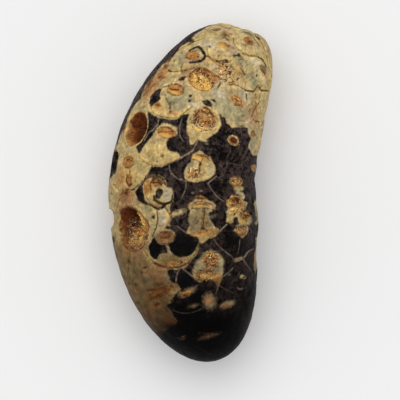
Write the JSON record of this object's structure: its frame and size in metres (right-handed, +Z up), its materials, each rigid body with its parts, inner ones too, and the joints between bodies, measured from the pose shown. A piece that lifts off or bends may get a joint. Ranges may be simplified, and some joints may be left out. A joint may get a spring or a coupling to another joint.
{
  "type": "fossil pine cone",
  "caption": "Silicified fossil pine cone lying on its side, curved, with rhombic cone scales, cream and black stone and weathered pits",
  "frame": {"origin": "below the middle of the bounding box, on the surface that the cone lies on", "axes": "+Z up, +Y along the cone towards its stem end, +X towards the inner side of its bend; the two deep cavities open on the upper -X side"},
  "size_m": [0.0444, 0.0918, 0.036],
  "materials": {
    "stone": "worn smooth, cream and black chalcedony with rough orange-brown pits"
  },
  "bodies": {
    "root": {"cone": "stone"}
  },
  "joints": []
}
